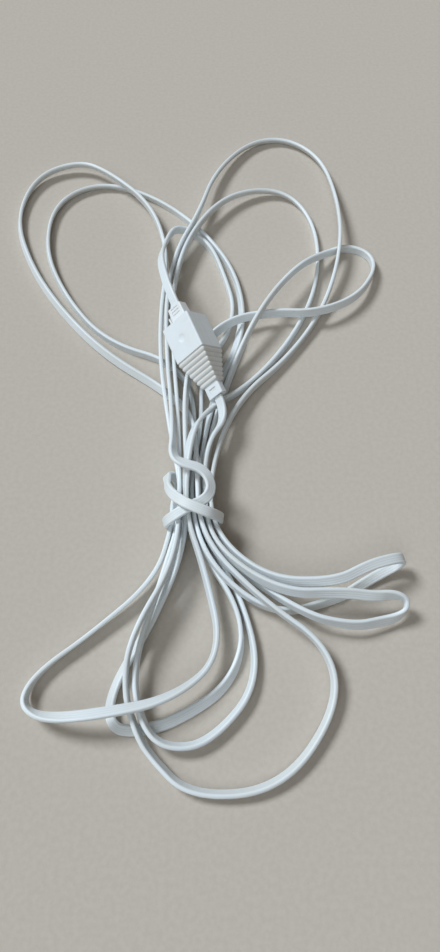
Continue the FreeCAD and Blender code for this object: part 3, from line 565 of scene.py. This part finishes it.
# The jacket's colours, with a grey that paints shade into its flutes, and how much of that painted flute
# shade and of its rubs shows
JACKET_WHITE = (0.80, 0.845, 0.87)
JACKET_SMUDGED = (0.745, 0.77, 0.76)
JACKET_FLUTE_SHADE = (0.60, 0.63, 0.64)
JACKET_RUBBED = (0.86, 0.885, 0.89)
FLUTE_SHADE_SHOWS = 0.4
RUB_SHOWS = 0.5


def jacket_finish(tree, shader, vector, flute):
    """Colour, roughness and relief that the cord's jacket has on every piece: blue-white, greyer in its
    flutes as painted shade, with warm smudges and pale rubs."""
    skin = use_group(tree, DRAWN_SKIN, Vector=vector)
    color = mixed(tree, skin["Smudge"], JACKET_WHITE, JACKET_SMUDGED)
    # Painted shade: the flutes' depth greys the colour in them
    color = mixed(tree, worked_out(tree, "MULTIPLY", flute, FLUTE_SHADE_SHOWS), color, JACKET_FLUTE_SHADE)
    color = mixed(tree, worked_out(tree, "MULTIPLY", skin["Rubs"], RUB_SHOWS), color, JACKET_RUBBED)
    finish_with(tree, shader, color, skin)


def cord_jacket():
    """The cord's jacket, with its lines along the mesh's own map."""
    material, tree, shader = new_material("cord_jacket")
    place = add_node(tree, "UVMap", {"uv_map": "cord"}).outputs[0]
    # The flutes' depth, which masks their painted shade
    flute = add_node(tree, "Attribute", {"attribute_name": "flute"}).outputs["Fac"]
    jacket_finish(tree, shader, place, flute)
    shader["Specular IOR Level"].default_value = 0.45
    return material


def jacket_in_plug():
    """The jacket's end inside the plug, with its lines along the plug and a grey line of painted flute shade
    at each whole core pitch from the middle, by a cosine across the width."""
    material, tree, shader = new_material("jacket_in_plug")
    across = add_node(tree, "SeparateXYZ", Vector=pair_place(tree)).outputs["X"]
    # Painted shade: a cosine across the width greys the jacket at each core pitch, as flute shade
    turns = worked_out(tree, "MULTIPLY", across, math.tau / (CORE_PITCH * MM), held=False)
    wave = worked_out(tree, "COSINE", turns, held=False)
    jacket_finish(tree, shader, drawn_place(tree), spread(tree, wave, 0.55, 1.0))
    return material


# The marks on every moulded piece, and how much of their colours shows
SCRATCH_WHITE = (0.92, 0.93, 0.93)
EDGE_GREY = (0.72, 0.72, 0.70)
EDGE_SHOWS = 0.35
SCRATCH_SHOWS = 0.4
# The housing's clean and aged colours, the ribs' darker and warmer copies of them as painted shade, and the
# ribs' dust and painted shade in their grooves
HOUSING_WHITE = (0.84, 0.885, 0.92)
HOUSING_AGED = (0.80, 0.835, 0.85)
RIB_SHADED_WHITE = (0.77, 0.785, 0.78)
RIB_SHADED_AGED = (0.73, 0.73, 0.705)
RIB_DUST_AND_SHADE = (0.64, 0.61, 0.55)
# The parting line's colour, and the distances in metres over which it fades out
PARTING_GREY = (0.6, 0.6, 0.59)
PARTING_INNER, PARTING_OUTER = 0.00005, 0.0001


def moulded_finish(tree, shader, vector, clean, aged, marks=(), **skin_inputs):
    """Moulded plastic between a clean and an aged colour, greyer on its rubbed edges and paler along its
    scratches, with marks over it: each is a mask and its colour."""
    skin = use_group(tree, MOULDED_SKIN, Vector=vector, **skin_inputs)
    color = mixed(tree, skin["Shade"], clean, aged)
    color = mixed(tree, worked_out(tree, "MULTIPLY", skin["Edges"], EDGE_SHOWS), color, EDGE_GREY)
    color = mixed(tree, worked_out(tree, "MULTIPLY", skin["Scratches"], SCRATCH_SHOWS), color, SCRATCH_WHITE)
    for mask, mark in marks:
        color = mixed(tree, mask, color, mark)
    finish_with(tree, shader, color, skin)


def parting_line(tree, place):
    """Mask of the hairline where the two shells meet, halfway up the housing, by the distance in metres from
    that middle."""
    height = add_node(tree, "SeparateXYZ", Vector=place).outputs["Z"]
    away = worked_out(tree, "ABSOLUTE", height, held=False)
    return spread(tree, away, PARTING_OUTER, PARTING_INNER)


def housing_white():
    """The socket's block and collar: bright white and a little glossy, with the shells' parting line."""
    material, tree, shader = new_material("housing_white")
    place = pair_place(tree)
    moulded_finish(tree, shader, place, HOUSING_WHITE, HOUSING_AGED,
                   [(parting_line(tree, place), PARTING_GREY)], Polish=0.38, Edge_Radius=0.0003)
    shader["Coat Weight"].default_value = 0.12
    shader["Coat Roughness"].default_value = 0.3
    return material


def rib_shaded_white():
    """The ribbed tail: darker and warmer than the block as painted shade, with a dusty tint and painted
    shade in its grooves.
    """
    material, tree, shader = new_material("rib_shaded_white")
    place = pair_place(tree)
    groove = add_node(tree, "Attribute", {"attribute_name": "groove"}).outputs["Fac"]
    # Patchy dust and painted shade in the grooves, by the groove's depth
    patchy = spread(tree, noise(tree, place, 400.0, 3.0), 0.3, 0.7, 0.35, 0.75)
    groove_dust_and_shade = worked_out(tree, "MULTIPLY", spread(tree, groove, 0.25, 1.0), patchy)
    # The ribs' colours are the block's plastic painted darker and warmer, as painted shade
    moulded_finish(tree, shader, place, RIB_SHADED_WHITE, RIB_SHADED_AGED,
                   [(groove_dust_and_shade, RIB_DUST_AND_SHADE), (parting_line(tree, place), PARTING_GREY)],
                   Polish=0.42, Edge_Radius=0.0002)
    return material


def plain_moulding(name, clean, aged, polish, coat=0.0, grain=2400.0, depth=0.02):
    """A moulded plastic piece without ribs."""
    material, tree, shader = new_material(name)
    moulded_finish(tree, shader, pair_place(tree), clean, aged, Polish=polish, Grain_Scale=grain,
                   Grain_Depth=depth, Edge_Radius=0.0002)
    shader["Coat Weight"].default_value = coat
    return material


CONTACT_GOLD = (0.86, 0.66, 0.28)
CONTACT_BROWN = (0.58, 0.40, 0.17)


def contact_gold():
    """Gold plate on the springs and blades: drawn lines, with duller brown patches."""
    material, tree, shader = new_material("contact_gold")
    skin = use_group(tree, DRAWN_SKIN, Vector=drawn_place(tree), Line_Depth=0.12, Polish=0.2)
    finish_with(tree, shader, mixed(tree, skin["Smudge"], CONTACT_GOLD, CONTACT_BROWN), skin)
    shader["Metallic"].default_value = 1.0
    return material


CORE_COLORS = [(0.035, 0.035, 0.04), (0.58, 0.05, 0.04), (0.05, 0.33, 0.11), (0.80, 0.58, 0.06)]
CORE_DARKER = 0.7


def core_insulation(number, color):
    """A core's coloured insulation: drawn like the jacket, darker where it is smudged."""
    material, tree, shader = new_material("core_insulation_" + str(number))
    skin = use_group(tree, DRAWN_SKIN, Vector=drawn_place(tree), Polish=0.34)
    dark = tuple(CORE_DARKER * part for part in color)
    finish_with(tree, shader, mixed(tree, skin["Smudge"], color, dark), skin)
    return material


def dress(prefix, material):
    """Gives a material to every node whose name starts with the prefix."""
    for name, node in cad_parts.items():
        if name.startswith(prefix):
            for slot in node.material_slots:
                slot.material = material


# The other mouldings' clean and aged colours
JACK_WHITE = (0.80, 0.82, 0.83)
JACK_AGED = (0.74, 0.76, 0.76)
PLUG_WHITE = (0.86, 0.885, 0.90)
PLUG_AGED = (0.82, 0.84, 0.845)
CLAMP_WHITE = (0.80, 0.82, 0.81)
CLAMP_AGED = (0.74, 0.75, 0.73)

# Each node's finish
jacket = cord_jacket()
for piece in (cord, cord_tail):
    piece.data.materials.append(jacket)
dress("plug_cord_end", jacket_in_plug())
dress("socket_shell", housing_white())
ribbed_tail.data.materials.append(rib_shaded_white())
dress("jack_insert", plain_moulding("jack_white", JACK_WHITE, JACK_AGED, 0.42))
plug_white = plain_moulding("plug_white", PLUG_WHITE, PLUG_AGED, 0.28, coat=0.3)
dress("plug_body", plug_white)
dress("plug_latch", plug_white)
clamp_white = plain_moulding("clamp_white", CLAMP_WHITE, CLAMP_AGED, 0.5, grain=1500.0, depth=0.05)
dress("socket_cord_clamp", clamp_white)
dress("plug_cord_clamp", clamp_white)
gold = contact_gold()
dress("socket_contact", gold)
dress("plug_contact", gold)
for number, color in enumerate(CORE_COLORS, 1):
    insulation = core_insulation(number, color)
    dress("socket_core_" + str(number), insulation)
    dress("plug_core_" + str(number), insulation)

# The floor's two close shades, the scale of its fibre, and how far it reaches each way, in metres
FLOOR_SHADE = (0.545, 0.487, 0.42)
FLOOR_PALE = (0.575, 0.517, 0.45)
FIBRE_SCALE = 350.0
FLOOR_REACH = 20


def pale_floor():
    """A plain pale studio floor with a very faint fibre in it."""
    material, tree, shader = new_material("pale_floor")
    place = add_node(tree, "TexCoord").outputs["Object"]
    fibre = spread(tree, noise(tree, place, FIBRE_SCALE, 3.0), 0.35, 0.65)
    feed(tree, shader["Base Color"], mixed(tree, fibre, FLOOR_SHADE, FLOOR_PALE))
    shader["Roughness"].default_value = 0.95
    shader["Specular IOR Level"].default_value = 0.2
    return material


def studio_floor():
    """A square floor at the height that the hank lies on."""
    mesh = bpy.data.meshes.new("floor")
    corners = [(x * FLOOR_REACH, y * FLOOR_REACH, 0) for x, y in ((-1, -1), (1, -1), (1, 1), (-1, 1))]
    mesh.from_pydata(corners, [], [(0, 1, 2, 3)])
    mesh.materials.append(pale_floor())
    floor = bpy.data.objects.new("floor", mesh)
    bpy.context.scene.collection.objects.link(floor)
    return floor


studio_floor()


def add_light(name, direction, softness, level, color):
    """A far soft lamp. Its level is the share of a plain white that it gives a surface square to it, which
    is its strength over pi, and its softness is the angle that it covers, in degrees."""
    light = bpy.data.lights.new(name, "SUN")
    light.angle = math.radians(softness)
    light.energy = level * math.pi
    light.color = color
    lamp = bpy.data.objects.new(name, light)
    bpy.context.scene.collection.objects.link(lamp)
    away = unit(np.array(direction, float))
    lamp.rotation_euler = (math.acos(away[2]), 0, math.atan2(away[0], -away[1]))


ROOM_WARMTH = (1.0, 0.96, 0.91)
ROOM_LEVEL = 0.15
BACKDROP = (0.49, 0.47, 0.425)


def room_light():
    """A weak warm light from all round; to the camera and in reflections the room is as pale as the
    floor."""
    world = bpy.data.worlds.new("room_light")
    world.use_nodes = True
    tree = world.node_tree
    room = tree.nodes["Background"]
    room.inputs["Color"].default_value = (*ROOM_WARMTH, 1)
    room.inputs["Strength"].default_value = ROOM_LEVEL
    backdrop = add_node(tree, "Background", Color=(*BACKDROP, 1), Strength=1.0)
    path = add_node(tree, "LightPath").outputs
    seen = worked_out(tree, "MAXIMUM", path["Is Camera Ray"], path["Is Glossy Ray"])
    seen = worked_out(tree, "MAXIMUM", seen, path["Is Transmission Ray"])
    either = add_node(tree, "MixShader")
    for socket, output in zip(either.inputs, (seen, room.outputs[0], backdrop.outputs[0])):
        feed(tree, socket, output)
    feed(tree, tree.nodes["World Output"].inputs["Surface"], either.outputs[0])
    bpy.context.scene.world = world


# A broad window to the left and a little behind, a weaker sky from the front, and a weak warm room
add_light("window", (-0.58, 0.36, 0.73), 19, 0.8, (0.84, 0.93, 1.0))
add_light("sky", (-0.25, -0.6, 0.76), 38, 0.25, (0.84, 0.93, 1.0))
room_light()
bpy.context.scene.view_settings.view_transform = "Standard"

# The photograph's viewpoint, in metres and degrees from straight down, and its focal length in pixels
CAMERA_PLACE = (0.0214, -0.2777, 0.39936)
CAMERA_TILT = 28
FOCAL_PIXELS = 715
PICTURE_HEIGHT = 952
SENSOR_HEIGHT = 36

camera_data = bpy.data.cameras.new("camera")
camera_data.sensor_fit = "VERTICAL"
camera_data.sensor_height = SENSOR_HEIGHT
camera_data.lens = SENSOR_HEIGHT * FOCAL_PIXELS / PICTURE_HEIGHT
camera = bpy.data.objects.new("camera", camera_data)
camera.location = CAMERA_PLACE
camera.rotation_euler = (math.radians(CAMERA_TILT), 0, 0)
bpy.context.scene.collection.objects.link(camera)
bpy.context.scene.camera = camera
